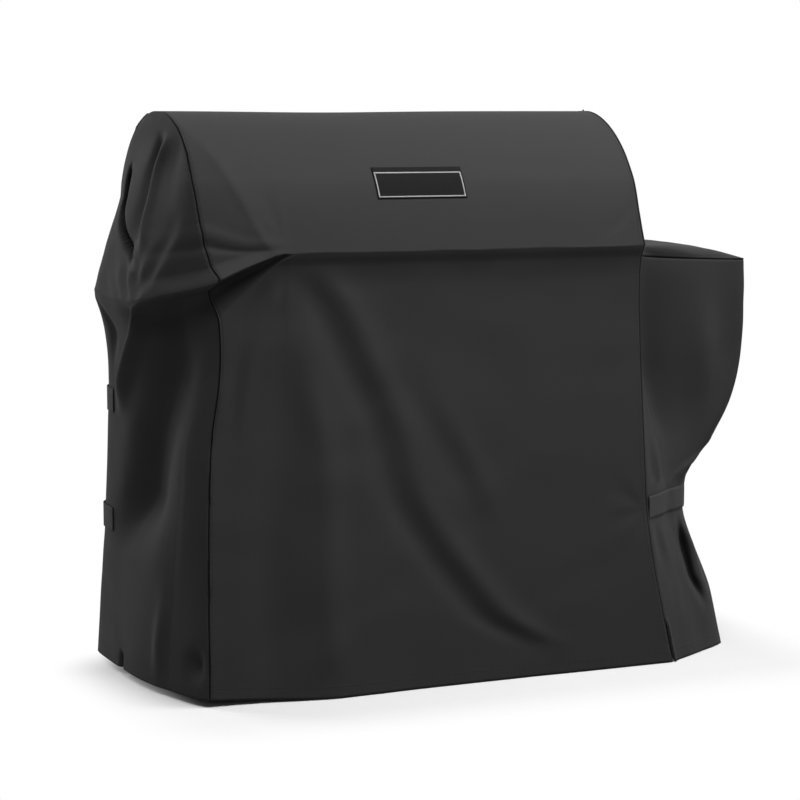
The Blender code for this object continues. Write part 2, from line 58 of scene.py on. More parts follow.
# %%
WIDTH = 1.408
FRONT_OUT = 0.325  # how far the front and the rear stand out at the hem
REAR_OUT = 0.300
HEIGHT = 1.180
CREASE = 0.900  # the height at which the hood ends and the skirt hangs
HOOD_LEFT = -0.616
HOOD_RIGHT = 0.362
RIDGE = 0.055  # how far the ridge lies ahead of the middle
CREASE_START = HOOD_LEFT + 0.167
SHIFT = np.array((-0.00079, 0.02208, 0.00027))
CLOTH = 0.0012
FRONT, REAR = -1, 1
print("cover", WIDTH, "wide and", HEIGHT, "high, with its crease at", CREASE)

# %% [markdown]
# ## Small tools for curves
#
# `curve` is a smooth line through a few knots, and `bump` a soft swelling. Both work on whole grids of numbers, so
# a panel of thirty thousand points takes a moment.


# %%
def curve(at, *knots):
    """A smooth curve through (station, value) knots, held level outside them."""
    xs, ys = np.array(knots, float).T
    at = np.clip(np.asarray(at, float), xs[0], xs[-1])
    slope = np.empty_like(ys)
    slope[1:-1] = (ys[2:] - ys[:-2]) / (xs[2:] - xs[:-2])
    slope[0] = (ys[1] - ys[0]) / (xs[1] - xs[0])
    slope[-1] = (ys[-1] - ys[-2]) / (xs[-1] - xs[-2])
    i = np.clip(np.searchsorted(xs, at, side="right") - 1, 0, len(xs) - 2)
    span = xs[i + 1] - xs[i]
    s = (at - xs[i]) / span
    level = ys[i] * (1 + 2 * s) * (1 - s) ** 2 + ys[i + 1] * s * s * (3 - 2 * s)
    return level + span * s * (1 - s) * (slope[i] * (1 - s) - slope[i + 1] * s)


def bump(at, middle, width):
    return np.exp(-(((at - middle) / width) ** 2))


def step(at, low, high):
    """0 below low, 1 above high, smooth between."""
    s = np.clip((np.asarray(at, float) - low) / (high - low), 0, 1)
    return s * s * (3 - 2 * s)


def mix(a, b, share):
    return a + (b - a) * share


rng = np.random.default_rng(7)
RIPPLES = [(rng.uniform(0, math.pi), rng.uniform(14, 60), rng.uniform(0, 6.28), rng.uniform(0.4, 1)) for _ in range(14)]


def ripple(p, q):
    """Gentle unevenness of slack cloth, about 1 at most, over any two coordinates in metres."""
    total = 0
    for turn, waves, phase, share in RIPPLES:
        along = p * math.cos(turn) + q * math.sin(turn)
        total = total + share * np.sin(waves * along + phase + 1.3 * np.sin(0.37 * waves * (q - p)))
    return total / 5


# %% [markdown]
# ## The hood and the hanging walls
#
# A level of a wall is a pair: `t` climbs the skirt from hem to crease, then `u` climbs the hood from crease to
# ridge. `hood_profile` is the arch seen from the end. An arch could be a bevelled curve; a formula was chosen,
# because the panels, the seams and the label can all ask it for a point.


# %%
def hood_profile(side, u):
    if side == FRONT:
        lip, spring, ridge, shoulder, turn = FRONT_OUT - 0.003, 0.310, RIDGE, 0.250, 0.10
    else:
        lip, spring, ridge, shoulder, turn = REAR_OUT - 0.015, 0.182, -RIDGE, 0.170, 0.30
    flat = ridge + 0.015
    level = 0.86
    base = HEIGHT - shoulder
    roundness = 2 / 1.8
    angle = np.radians(90 * np.clip((u - turn) / (level - turn), 0, 1))
    low = np.clip(u / turn, 0, 1)
    top = np.clip((u - level) / 0.14, 0, 1)
    out = flat + (spring - flat) * np.maximum(np.cos(angle), 0) ** roundness
    z = base + shoulder * np.sin(angle) ** roundness
    out = np.where(u < turn, mix(lip, spring, low ** 0.9), np.where(u > level, mix(flat, ridge, top), out))
    z = np.where(u < turn, mix(CREASE, base, low), z)
    if side == FRONT:
        # The cloth leans back evenly above the crease before it rounds the shoulder.
        lean = curve(z, (0.900, 0.322), (0.935, 0.3135), (0.970, 0.3045), (1.01, 0.2915), (1.046, 0.2746),
                     (1.100, 0.2334))
        out = mix(lean, out, step(z, 1.04, 1.10))
    return out, z


def left_seam_x(t, u):
    lower = curve(t, (0, 0.011), (0.38, 0.016), (0.6, 0.024), (0.78, 0.044), (0.9, 0.041), (1, 0.0285))
    upper = curve(u, (0, 0.0285), (0.1, 0.0175), (0.2, 0.007), (0.35, 0.0))
    return HOOD_LEFT + np.where(u > 0, upper, lower)


def right_seam_x(t, u):
    lower = curve(t, (0, 0.085), (0.13, 0.060), (0.27, 0.035), (0.38, 0.025), (0.6, 0.015), (0.9, 0.006), (1, 0.005))
    upper = curve(u, (0, 0.005), (0.2, 0.0))
    return HOOD_RIGHT + np.where(u > 0, upper, lower)


def crease_drop(x):
    share = np.clip((CREASE_START - x) / (CREASE_START - HOOD_LEFT - 0.0285), 0, 1.2)
    return 0.048 * share ** 1.25


def hem_lift(x):
    return 0.014 * np.clip(1 - (x - HOOD_LEFT) / 0.30, 0, 2) ** 1.5


print("hood springs at", [np.round(hood_profile(side, np.array(0.0))[0], 3) for side in (FRONT, REAR)])

# %% [markdown]
# ## Folds of the front
#
# The photograph shows a lip where the hood's slack cloth hangs over the shelf's corner, a long soft valley that
# runs from the end of the crease down to the right, a broad hollow low on the left, and pull lines at the strap.
# A cloth simulation would put folds where it likes. Here each fold is a bump along a drawn line, so that it lies
# where the real one does.


# %%
def turned(x, line, width, depth):
    """A fold along a line: the cloth falls away to the left of it, and swells to the right."""
    return depth * (bump(x, line + 0.8 * width, width) - bump(x, line - 0.8 * width, width))


def front_folds(x, t, u, z):
    skirt = (u <= 0).astype(float)
    hood = 1 - skirt
    left = np.clip((CREASE_START + 0.015 - x) / 0.15, 0, 1)
    lip = 0.009 * left * (bump(u, 0.0, 0.20) * hood + bump(t, 1, 0.010) * skirt)
    thick = 0.052 * left + 0.002
    under = -0.040 * left ** 0.5 * step(t, 1.0, 1 - 0.45 * thick) * step(t, 1 - 2.2 * thick, 1 - 0.7 * thick) * skirt
    under = under - 0.012 * left ** 0.7 * step(t, 1.0, 0.970) * step(t, 0.66, 0.92) * skirt
    tuck = curve(x, (-0.60, 0.135), (-0.563, 0.105), (-0.517, 0.067), (-0.455, 0.030))
    lip = lip + left * hood * (0.003 * bump(u, tuck + 0.045, 0.022) - 0.004 * bump(u, tuck, 0.015))
    # Long soft folds of the hanging front, from left to right.
    hang = step(t, 0.985, 0.80) * (0.35 + 0.65 * step(t, 0.0, 0.16))
    fan_dark = curve(z, (0.55, -0.552), (0.662, -0.539), (0.767, -0.512), (0.83, -0.480))
    fan_light = curve(z, (0.55, -0.527), (0.633, -0.516), (0.703, -0.504), (0.793, -0.466), (0.86, -0.450))
    fan = 0.003 * bump(x, fan_light, 0.013) - 0.004 * bump(x, fan_dark, 0.014)
    fan = fan * step(z, 0.50, 0.66) * step(z, 0.86, 0.80)
    edge = curve(z, (0.037, -0.359), (0.199, -0.366), (0.362, -0.363), (0.507, -0.370), (0.647, -0.400),
                 (0.787, -0.415))
    foot = curve(z, (0.111, -0.492), (0.293, -0.484), (0.451, -0.469), (0.647, -0.443), (0.787, -0.430))
    broad = 0.009 * bump(x, edge + 0.012, 0.036) - 0.013 * bump(x, foot + 0.015, 0.050)
    broad = broad * step(z, 0.84, 0.50) * hang
    main = curve(z, (0.068, 0.127), (0.131, 0.026), (0.213, -0.048), (0.303, -0.117), (0.403, -0.176), (0.552, -0.219),
                 (0.669, -0.273), (0.769, -0.322), (0.882, -0.385))
    long = turned(x, main, 0.036, 0.0068) * step(z, 0.885, 0.80) * step(z, 0.03, 0.14)
    second = curve(z, (0.335, 0.003), (0.43, -0.035), (0.529, -0.088), (0.606, -0.130))
    long = long + turned(x, second, 0.032, 0.0034) * bump(z, 0.46, 0.14)
    seam = -0.022 * step(x, -0.36, -0.60) * step(t, 0.92, 0.60)
    flare = 0.009 * bump(x, HOOD_LEFT + 0.30, 0.17) * (1 - t) ** 2
    # Pull lines from the end of the strap.
    dx, dz = HOOD_RIGHT + 0.02 - x, z - 0.337
    reach = np.sqrt(dx * dx + dz * dz)
    turn = np.arctan2(dz, np.maximum(dx, 1e-4))
    pull = -0.004 * bump(reach, 0.0, 0.045) + 0.0008 * np.sin(7 * turn + 0.6) * bump(reach, 0.06, 0.06)
    # The hood's corner turns away left of a line from the top of the seam to the end of the crease.
    line = HOOD_LEFT + 0.150 * np.clip(1 - u / 0.66, -1, 1)
    away = np.clip(line - x, 0, 1)
    corner = -(0.24 * away) * step(u, 0.0, 0.06) * step(u, 0.80, 0.55)
    corner = corner + 0.0015 * bump(x, line + 0.006, 0.016) * step(u, 0.62, 0.40)
    # Small gathers that run to the end of the crease, and a slack diagonal low on the hood's right.
    gx, gz = CREASE_START + 0.01 - x, z - CREASE
    far = np.sqrt(gx * gx + gz * gz)
    gather = 0.0005 * np.sin(13 * np.arctan2(gz, gx) + 0.9) * bump(far, 0.085, 0.055) * (gx > 0) * step(gz, 0.03, 0.06)
    slack = -0.0014 * bump(x, HOOD_RIGHT - 0.075 + 0.5 * (u - 0.10), 0.018) * bump(u, 0.16, 0.08)
    soft = 0.0016 * ripple(x * 0.7, z * 0.8) * (0.3 + 0.7 * skirt)
    return lip + under + soft + skirt * (fan + broad + long + seam + flare + pull) + hood * (corner + gather + slack)


# %% [markdown]
# ## The rear, and both walls
#
# The photograph doesn't show the rear, so it gets plain, even waves. `wall` puts profile, crease and folds together,
# and the panels, seams and straps are all made from its points.


# %%
def rear_folds(x, t, u, z):
    skirt = (u <= 0).astype(float)
    hang = np.sin(np.pi * np.clip(t / 0.97, 0, 1)) ** 0.8
    swing = np.sin(2 * np.pi * (x - HOOD_LEFT) / 0.33 + 0.8 * np.sin(5 * z))
    waves = 0.010 * swing * hang * step(x, HOOD_LEFT + 0.08, HOOD_LEFT + 0.30)
    drape = -0.010 * bump(u, 0.16, 0.12) * np.sin(np.pi * np.clip((x - HOOD_LEFT) / 0.978, 0, 1)) * (1 - skirt)
    return waves * skirt + drape + 0.0016 * ripple(x * 0.8, z * 0.7)


def wall(side, s, t, u):
    """Points of the front or rear wall: s runs from the left seam to the right seam."""
    x = mix(left_seam_x(t, u), right_seam_x(t, u), s)
    recess = curve(t, (0, 0.0), (0.25, 0.008), (0.5, 0.016), (0.75, 0.023), (0.92, 0.023), (0.97, 0.016),
                   (0.992, 0.006), (1, 0.003))
    skirt_out = (FRONT_OUT if side == FRONT else REAR_OUT - 0.012) - recess
    skirt_z = t * (CREASE - crease_drop(x)) + hem_lift(x) * (1 - t) ** 3
    hood_out, hood_z = hood_profile(side, u)
    hood_z = hood_z - crease_drop(x) * np.clip(1 - u / 0.45, 0, 1) ** 2
    out = np.where(u > 0, hood_out, skirt_out)
    z = np.where(u > 0, hood_z, skirt_z)
    folds = front_folds if side == FRONT else rear_folds
    fade = np.clip((0.94 - u) / 0.1, 0, 1)
    out = out + fade * folds(x, t, u, z)
    z = z - 0.003 * bump(s, 0.36, 0.22) * step(u, 0.5, 0.9)
    return np.stack([x, side * out, z], -1)


# %% [markdown]
# ## The left end
#
# One cloth runs from the hem, over the shelf, up to the arch. It tents from the hood down to the shelf's edge and
# falls in beneath it. A deep crease stands near the back of the tent. `corner_path` is the plan of the end at one
# level, with a rounded corner at each side. It is averaged over a few nearby places, because cloth has no edge there.


# %%
def corner_path(a, start, finish, plane, corner, power):
    turned = a > 0.5
    b = np.where(turned, 1 - a, a)
    first_x = np.where(turned, finish[..., 0], start[..., 0])
    first_y = np.where(turned, finish[..., 1], start[..., 1])
    inward = np.where(turned, -1, 1)
    angle = np.radians(90 * np.clip(b / 0.3, 0, 1))
    x = first_x - (first_x - plane) * np.sin(angle) ** (2 / power)
    y = first_y + inward * corner * (1 - np.maximum(np.cos(angle), 0) ** (2 / power))
    middle = (start[..., 1] + finish[..., 1]) / 2
    y = np.where(b >= 0.3, mix(first_y + inward * corner, middle, (b - 0.3) / 0.2), y)
    return np.where(b >= 0.3, plane, x), y


def left_end(a, t, u):
    start, finish = wall(FRONT, 0 * a, t, u), wall(REAR, 0 * a, t, u)
    span = finish[..., 1] - start[..., 1]
    hood = u > 0
    reach = np.where(
        hood,
        curve(u, (0, 0.088), (0.12, 0.070), (0.3, 0.036), (0.48, 0.012), (0.7, 0.006), (1, 0.0)),
        curve(t, (0, 0.057), (0.4, 0.044), (0.78, 0.050), (0.93, 0.070), (1, 0.088)),
    )
    behind = curve(t, (0, 0.11), (0.4, 0.125), (0.78, 0.19), (1, 0.25))
    ahead = curve(t, (0, 0.36), (0.2, 0.30), (0.45, 0.22), (0.78, 0.20), (1, 0.25))
    share = np.where(hood, curve(u, (0, 0.25), (0.48, 0.30), (1, 0.30)), np.where(a > 0.5, behind, ahead))
    rear_turn = curve(t, (0, 2.1), (0.2, 1.7), (0.45, 1.30), (1, 1.15))
    front_turn = curve(t, (0, 1.40), (0.45, 1.30), (1, 1.15))
    power = np.where(hood, curve(u, (0, 1.15), (0.5, 1.7), (1, 2.0)), np.where(a > 0.5, rear_turn, front_turn))
    plane = np.minimum(HOOD_LEFT - reach, start[..., 0])
    blur = np.where(hood, 0.10, curve(t, (0, 0.20), (0.6, 0.18), (0.85, 0.11), (1, 0.10)))
    near = np.minimum(np.minimum(a, 1 - a), np.where(a > 0.5, 0.10, blur))
    paths = [corner_path(a + k * near, start, finish, plane, span * share, power) for k in np.linspace(-0.9, 0.9, 9)]
    x, y = (sum(path[i] for path in paths) / len(paths) for i in (0, 1))
    drop = curve(a, (0, 0.048), (0.15, 0.075), (0.3, 0.094), (0.5, 0.100), (0.7, 0.094), (0.85, 0.075), (1, 0.048))
    drop = drop - 0.048
    z = mix(start[..., 2], finish[..., 2], a) - drop * np.where(hood, np.clip(1 - u / 0.45, 0, 1) ** 2, t)
    inner = np.sin(np.pi * a) ** 0.5
    # Under the shelf the cloth falls in beside the front corner, with a long fold from the shelf's corner.
    ridge = curve(t, (0.3, 0.66), (0.44, 0.644), (0.583, 0.621), (0.749, 0.553), (0.889, 0.42), (0.985, 0.297))
    fade = step(t, 0.30, 0.50) * inner * ~hood
    hollow = ridge - curve(t, (0.40, 0.12), (0.55, 0.16), (0.643, 0.185), (0.784, 0.21), (0.955, 0.15))
    flank = np.where(a > hollow, bump(a, hollow, curve(t, (0.5, 0.06), (0.8, 0.085), (1, 0.07))), bump(a, hollow, 0.20))
    x = x - 0.024 * fade * bump(a, ridge, 0.034) * step(t, 1.0, 0.96) * step(t, 0.66, 0.80)
    x = x + curve(t, (0.4, 0.056), (0.6, 0.054), (0.8, 0.046)) * fade * flank * step(t, 1.0, 0.965)
    x = x + 0.026 * bump(a, 0.27, 0.14) * step(t, 1.0, 0.955) * step(t, 0.60, 0.86) * inner * ~hood
    small = curve(t, (0.75, 0.655), (0.84, 0.625), (0.905, 0.600), (0.98, 0.66))
    x = x + 0.010 * inner * bump(a, small, 0.028) * bump(t, 0.90, 0.075) * ~hood
    # Low down: a fold above the front corner, a dent near the hem and a short slit.
    x = x - 0.008 * bump(a, 0.26, 0.035) * bump(t, 0.13, 0.09) * ~hood
    x = x + 0.014 * bump(a, 0.080, 0.030) * bump(t, 0.085, 0.035) * ~hood
    y = y + 0.010 * bump(a, 0.07, 0.04) * bump(t, 0.080, 0.030) * ~hood
    x = x + 0.012 * bump(a, 0.556, 0.007) * step(t, 0.055, 0.030) * ~hood
    # The tent: a light fold, a deep narrow crease behind it, and gathers at the shelf's corner.
    deep = curve(u, (0.06, 0.36), (0.10, 0.39), (0.13, 0.43), (0.19, 0.57), (0.26, 0.69), (0.33, 0.73), (0.42, 0.76))
    pocket = step(u, 0.08, 0.16) * step(u, 0.46, 0.34) * hood * bump(a, deep, 0.026)
    x = x + 0.026 * pocket
    y = y + 0.042 * pocket
    light = curve(u, (0.18, 0.33), (0.262, 0.347), (0.405, 0.325), (0.564, 0.219))
    slack = step(u, 0.10, 0.22) * step(u, 0.62, 0.48) * hood * inner
    x = x - 0.012 * slack * bump(a, light, 0.036)
    x = x + 0.014 * slack * bump(a, light + 0.115, 0.055)
    x = x + 0.008 * slack * bump(a, light - 0.13, 0.070)
    brace = curve(u, (0, 0.25), (0.10, 0.17), (0.22, 0.10))
    braced = 0.005 * bump(a, brace, 0.030) - 0.005 * bump(a, brace + 0.065, 0.032)
    x = x - braced * step(u, 0.30, 0.14) * step(u, 0, 0.04) * hood * inner
    gathers = np.sin(30 * (a - 0.3) / (0.35 + 2.2 * u)) * bump(u, 0.07, 0.06) * bump(a, 0.36, 0.16)
    x = x + 0.0040 * gathers * hood
    x = x + 0.0016 * inner * ripple(y * 0.9, z * 0.8)
    return np.stack([x, y, z], -1)


# %% [markdown]
# ## The hopper end
#
# The skirt leaves the front wall, turns back into a valley and goes round the hopper. The strap draws it in at the
# waist. Above the edge seam, one cloth covers the hopper's top and the hood's right end. At each height the skirt is
# a smooth curve through a few corner points, because the cloth is drawn tight between them.


# %%
def hopper_corners(t):
    start = wall(FRONT, 1 + 0 * t, t, 0 * t)
    far = WIDTH / 2
    waist = 0.5765
    end = curve(t, (0, far - 0.046), (0.15, far - 0.070), (0.34, waist), (0.425, waist), (0.48, waist + 0.020),
                (0.56, far - 0.060), (0.64, far - 0.026), (0.74, far - 0.006), (0.86, far), (1, far - 0.001))
    front = curve(t, (0, 0.210), (0.34, 0.182), (0.425, 0.182), (0.6, 0.190), (1, 0.190))
    dip = curve(t, (0, 0), (0.34, 0), (0.425, 0), (0.6, 0.75), (0.8, 1), (1, 1))[..., None]
    z = 0 * t
    at = lambda x, y: np.stack([x + z, y + z, z], -1)
    corner_a, corner_b = at(end - 0.026, -front), at(end - 0.006, -front + 0.045)
    sx, sy = start[..., 0], start[..., 1]
    valley_a = mix(mix(start, corner_a, 0.30), at(sx + 0.034, sy + 0.070), dip)
    valley_b = mix(mix(start, corner_a, 0.62), at(sx + 0.098, -front + 0.006), dip)
    return [start, valley_a, valley_b, corner_a, corner_b, at(end, 0)]


def hopper_skirt(a, t):
    half = hopper_corners(t)
    rear = [p * np.array((1, -1, 1)) for p in reversed(half[:-1])]
    rear[-1] = wall(REAR, 1 + 0 * t, t, 0 * t)
    path = np.stack(half + rear)
    place = a * (len(path) - 1)
    i = np.clip(np.floor(place).astype(int), 0, len(path) - 2)
    s = (place - i)[..., None]
    pick = lambda k: np.take_along_axis(path, np.clip(k, 0, len(path) - 1)[None, ..., None], 0)[0]
    p0, p1, p2, p3 = pick(i - 1), pick(i), pick(i + 1), pick(i + 2)
    spot = p1 + 0.5 * s * (p2 - p0 + s * (2 * p0 - 5 * p1 + 4 * p2 - p3 + s * (3 * (p1 - p2) + p3 - p0)))
    x, y = spot[..., 0], spot[..., 1]
    edge = curve(a, (0, 0), (0.1, 0.016), (0.2, 0.034), (0.3, 0.043), (0.5, 0.039), (0.7, 0.043), (0.8, 0.034),
                 (0.9, 0.016), (1, 0))
    z = t * (CREASE - edge)
    inner = np.clip(np.sin(np.pi * a) * 4, 0, 1)
    # Gathers that run into the strap from above and below.
    comb = np.sin(46 * a + 5 * t) * 0.6 + np.sin(73 * a - 3 * t + 1) * 0.4
    near = (bump(t, 0.48, 0.055) + 0.8 * bump(t, 0.28, 0.05)) * step(abs(t - 0.392), 0.034, 0.065)
    push = 0.0065 * comb * near * inner
    # The crease on the hopper's front, and the dark fold on the skirt below the strap.
    push = push + (0.018 * bump(a, 0.256, 0.014) - 0.012 * bump(a, 0.292, 0.018)) * bump(t, 0.76, 0.14)
    push = push - 0.030 * bump(a, 0.190, 0.036) * bump(t, 0.70, 0.22)
    fold = curve(t, (0.12, 0.250), (0.16, 0.237), (0.19, 0.228), (0.34, 0.258))
    run = step(t, 0.09, 0.20) * step(t, 0.355, 0.25)
    pocket = bump(a, fold, 0.014) * run
    push = push + 0.006 * bump(a, fold + 0.040, 0.020) * run
    sweep = curve(t, (0.43, 0.255), (0.448, 0.279), (0.54, 0.402))
    push = push - 0.020 * bump(a, sweep, 0.020) * bump(t, 0.50, 0.055)
    push = push + 0.010 * bump(a, sweep - 0.040, 0.018) * bump(t, 0.50, 0.055)
    # The seam is left open for a hand's width above the hem.
    open_seam = 0.008 * step(a, 0.040, 0.0) * step(t, 0.118, 0.085)
    push = push + 0.0015 * ripple(a * 1.3, z) * inner
    away_x = curve(a, (0, 0.1), (0.2, 0.2), (0.3, 0.45), (0.4, 0.95), (0.5, 1), (0.6, 0.95), (0.7, 0.45), (0.8, 0.2),
                   (1, 0.1))
    away_x = np.clip(away_x, 0, 1)
    away_y = np.sqrt(1 - away_x ** 2) * np.where(a < 0.5, -1, 1)
    return np.stack([x + push * away_x + 0.016 * pocket + open_seam, y + push * away_y + 0.036 * pocket, z], -1)


# %% [markdown]
# ## The hopper's top and the hood's right end
#
# This cloth has two parts in one piece. The top is stretched from the edge seam to the foot of the hood and bellies a
# little. Then it climbs the hood's end, which is filled from the front arch to the rear one.


# %%
def hopper_top(a, c):
    edge = hopper_skirt(a, 1 + 0 * a)
    one, nil = 1 + 0 * a, 0 * a
    front, rear = wall(FRONT, one, one, nil), wall(REAR, one, one, nil)
    foot = np.stack([front[..., 0] + 0.002, mix(front[..., 1], rear[..., 1], a), CREASE + nil], -1)
    spot = mix(edge, foot, c[..., None])
    lift = 0.020 * np.sin(np.pi * c) * np.sin(np.pi * a) - 0.010 * np.sin(np.pi * c * c) * np.sin(np.pi * a)
    lift = lift + 0.0016 * ripple(spot[..., 0], spot[..., 1]) * np.sin(np.pi * c)
    spot[..., 2] = spot[..., 2] + lift
    return spot


def hood_end(a, u):
    one = 1 + 0 * u
    front, rear = wall(FRONT, one, one, u), wall(REAR, one, one, u)
    spot = mix(front, rear, a[..., None])
    spot[..., 0] = spot[..., 0] + 0.012 * np.sin(np.pi * a) * np.sin(np.pi * np.clip(u, 0, 1))
    spot[..., 0] = spot[..., 0] + 0.0020 * ripple(spot[..., 1], spot[..., 2]) * np.sin(np.pi * a)
    return spot


# %% [markdown]
# ## From points to cloth
#
# A panel is a grid of points. Each vertex keeps two sets of measured distances, in metres: its place on the cloth,
# and how far it is from the panel's two side seams. The stitching is drawn from these. The last few millimetres of
# each seam edge are drawn inwards, as a sewn seam is. A Solidify modifier then gives the cloth its thickness, so the
# grid itself stays a single sheet.


# %%
def normals_of(grid):
    across = np.gradient(grid, axis=1)
    up = np.gradient(grid, axis=0)
    out = np.cross(across, up)
    return out / np.maximum(np.linalg.norm(out, axis=-1, keepdims=True), 1e-9)


def run_along(grid, axis):
    """Distance travelled along each row (axis 1) or each column (axis 0)."""
    gone = np.cumsum(np.linalg.norm(np.diff(grid, axis=axis), axis=-1), axis=axis)
    start = np.zeros_like(np.take(gone, [0], axis))
    return np.concatenate([start, gone], axis)


def to_mesh(name, grid, flip=False, closed=False):
    """A smooth mesh of a grid of points, with its cloth distances as two sets of UVs."""
    rows, columns = grid.shape[:2]
    index = np.arange(rows * columns).reshape(rows, columns)
    if closed:
        index = np.concatenate([index, index[:, :1]], 1)
    quads = np.stack([index[:-1, :-1], index[:-1, 1:], index[1:, 1:], index[1:, :-1]], -1).reshape(-1, 4)
    if flip:
        quads = quads[:, ::-1]
    data = bpy.data.meshes.new(name)
    data.from_pydata((grid.reshape(-1, 3) + SHIFT).tolist(), [], quads.tolist())
    data.polygons.foreach_set("use_smooth", np.ones(len(quads), bool))
    across, up = run_along(grid, 1), run_along(grid, 0)
    corners = np.empty(len(data.loops), np.int32)
    data.loops.foreach_get("vertex_index", corners)
    for layer, p, q in (("cloth", across - across[:, -1:] / 2, up), ("edge", across, across[:, -1:] - across)):
        flat = np.stack([p, q], -1).reshape(-1, 2)[corners]
        data.uv_layers.new(name=layer).data.foreach_set("uv", flat.ravel())
    made = bpy.data.objects.new(name, data)
    bpy.context.scene.collection.objects.link(made)
    return made


def pinched(grid, outside, ends=(True, True, False, False)):
    """Draws in the seam edges: left, right, bottom and top."""
    across, up = run_along(grid, 1), run_along(grid, 0)
    near = np.full(grid.shape[:2], 1.0)
    for wanted, far in zip(ends, (across, across[:, -1:] - across, up, up[-1:] - up)):
        if wanted:
            near = np.minimum(near, far)
    depth = 0.0024 * np.clip(1 - near / 0.007, 0, 1) ** 2
    return grid - outside * normals_of(grid) * depth[..., None]


def thicken(piece, thickness):
    """Gives a sheet its thickness, towards its inside."""
    shell = piece.modifiers.new("thickness", "SOLIDIFY")
    shell.thickness = thickness
    shell.offset = -1.0
    return piece


# %% [markdown]
# ## The five panels
#
# Rows are close together where the cloth bends sharply: at the crease, and beside the seams.

# %%
FINE = np.array((0, 0.0012, 0.0024, 0.0038, 0.0052, 0.0070, 0.0095))
t_rows = np.concatenate([np.linspace(0, 0.045, 8), np.linspace(0.045, 0.88, 112)[1:], np.linspace(0.88, 1, 52)[1:]])
u_rows = np.concatenate([np.linspace(0, 0.14, 34)[1:], np.linspace(0.14, 1, 86)[1:]])
level_t = np.concatenate([t_rows, np.ones_like(u_rows)])
level_u = np.concatenate([np.zeros_like(t_rows), u_rows])
s_columns = np.concatenate([FINE, np.linspace(0.0125, 0.9875, 196), 1 - FINE[::-1]])
a_columns = np.concatenate([FINE * 1.3, np.linspace(0.016, 0.984, 170), 1 - FINE[::-1] * 1.3])


def grid_of(surface, columns, rows_t, rows_u):
    a = np.broadcast_to(columns, (len(rows_t), len(columns)))
    t = np.broadcast_to(rows_t[:, None], a.shape)
    u = np.broadcast_to(rows_u[:, None], a.shape)
    return surface(a, t, u)


front_wall = lambda s, t, u: wall(FRONT, s, t, u)
rear_wall = lambda s, t, u: wall(REAR, s, t, u)
ALL_BUT_HEM = (True, True, False, True)
front_grid = pinched(grid_of(front_wall, s_columns, level_t, level_u), 1, ALL_BUT_HEM)
rear_grid = pinched(grid_of(rear_wall, s_columns[::2], level_t[::2], level_u[::2]), -1, ALL_BUT_HEM)
left_grid = pinched(grid_of(left_end, a_columns, level_t, level_u), -1)
skirt_grid = pinched(grid_of(lambda a, t, u: hopper_skirt(a, t), a_columns, t_rows, 0 * t_rows), 1, ALL_BUT_HEM)
c_rows = np.concatenate([FINE * 3, np.linspace(0.035, 1, 60)])
top_grid = grid_of(lambda a, c, u: hopper_top(a, c), a_columns, c_rows, 0 * c_rows)
end_rows = np.linspace(0, 1, 70)[1:]
end_grid = grid_of(lambda a, t, u: hood_end(a, u), a_columns, 1 + 0 * end_rows, end_rows)
top_grid = pinched(np.concatenate([top_grid, end_grid]), 1, (True, True, True, False))

# %%
panels = {
    "front_panel": (front_grid, False),
    "rear_panel": (rear_grid, True),
    "left_end_panel": (left_grid, True),
    "hopper_skirt_panel": (skirt_grid, False),
    "hopper_top_panel": (top_grid, False),
}
made = {}
for node, (grid, flip) in panels.items():
    made[node] = thicken(to_mesh(node.replace("_panel", "_cloth"), grid, flip), CLOTH)
    print(node, "grid", grid.shape[:2])

# %% [markdown]
# ## Hems
#
# The hem is the panel's own cloth turned up inside. It could be modelled as a fold; a second strip just behind the
# panel's lowest rows looks the same and can't cut through it.


# %%
def hem(name, grid, outside, flip):
    rows = int(np.argmax(run_along(grid, 0).mean(1) > 0.027)) + 1
    strip = (grid - outside * normals_of(grid) * 0.0020)[:rows, 4:-4]
    strip[..., 2] = strip[..., 2] + 0.0015
    return thicken(to_mesh(name, strip, flip), 0.0011)


for node, grid, outside, flip in (
    ("front_hem_band", front_grid, 1, False),
    ("rear_hem_band", rear_grid, -1, True),
    ("left_hem_band", left_grid, -1, True),
    ("right_hem_band", skirt_grid, 1, False),
):
    made[node] = hem(node.replace("_band", "_turnup"), grid, outside, flip)
    print(made[node].name, "has", len(made[node].data.polygons), "faces")

# %% [markdown]
# ## Seams
#
# A seam shows as a thin bead in the groove between two panels. A bevelled curve would do; a tube built on the two
# panels' own edges was chosen, because it then sits in the groove all the way.


# %%
def bead(name, path, radius, sides=8):
    """A round bead along a path of points."""
    path = np.asarray(path)
    ahead = np.gradient(path, axis=0)
    ahead /= np.linalg.norm(ahead, axis=1, keepdims=True)
    first = np.cross(ahead, np.array((0.31, 0.17, 0.93)))
    first /= np.linalg.norm(first, axis=1, keepdims=True)
    second = np.cross(ahead, first)
    angle = np.linspace(0, 2 * math.pi, sides, endpoint=False)[None, :, None]
    ring = path[:, None] + radius * (np.cos(angle) * first[:, None] + np.sin(angle) * second[:, None])
    return to_mesh(name, ring, closed=True)


def between(first, second):
    """The line midway between two panel edges, each point paired with the nearest one on the finer edge."""
    coarse, fine = sorted((first, second), key=len)
    apart = np.linalg.norm(coarse[:, None] - fine[None], axis=-1)
    return (coarse + fine[apart.argmin(1)]) / 2


